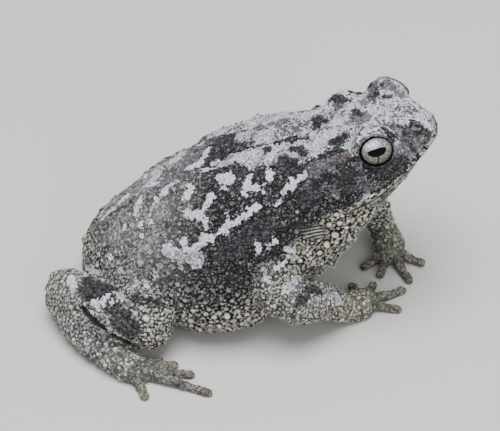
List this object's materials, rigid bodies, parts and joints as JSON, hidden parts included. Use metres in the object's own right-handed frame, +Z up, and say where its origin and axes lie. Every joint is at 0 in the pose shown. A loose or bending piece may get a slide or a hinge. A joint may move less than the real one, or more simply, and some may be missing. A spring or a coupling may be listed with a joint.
{
  "type": "big-eared toad",
  "caption": "Life-size still model of a squat warty toad sitting up on its forelegs, head raised, hind legs folded beside a full round body.",
  "frame": {"origin": "middle of the box round the toad, on the floor that it sits on", "axes": "+X the way the toad faces, +Y its left side, +Z up"},
  "size_m": [0.0626, 0.063, 0.0367],
  "materials": {
    "skin": "matte, warty",
    "eye": "glossy"
  },
  "bodies": {
    "root": {"torso": "skin", "head": "skin", "eye_right": "eye", "eye_left": "eye", "upper_arm_right": "skin", "forearm_right": "skin", "hand_right": "skin", "thigh_right": "skin", "shank_right": "skin", "tarsus_right": "skin", "foot_right": "skin", "upper_arm_left": "skin", "forearm_left": "skin", "hand_left": "skin", "thigh_left": "skin", "shank_left": "skin", "tarsus_left": "skin", "foot_left": "skin"}
  },
  "joints": []
}
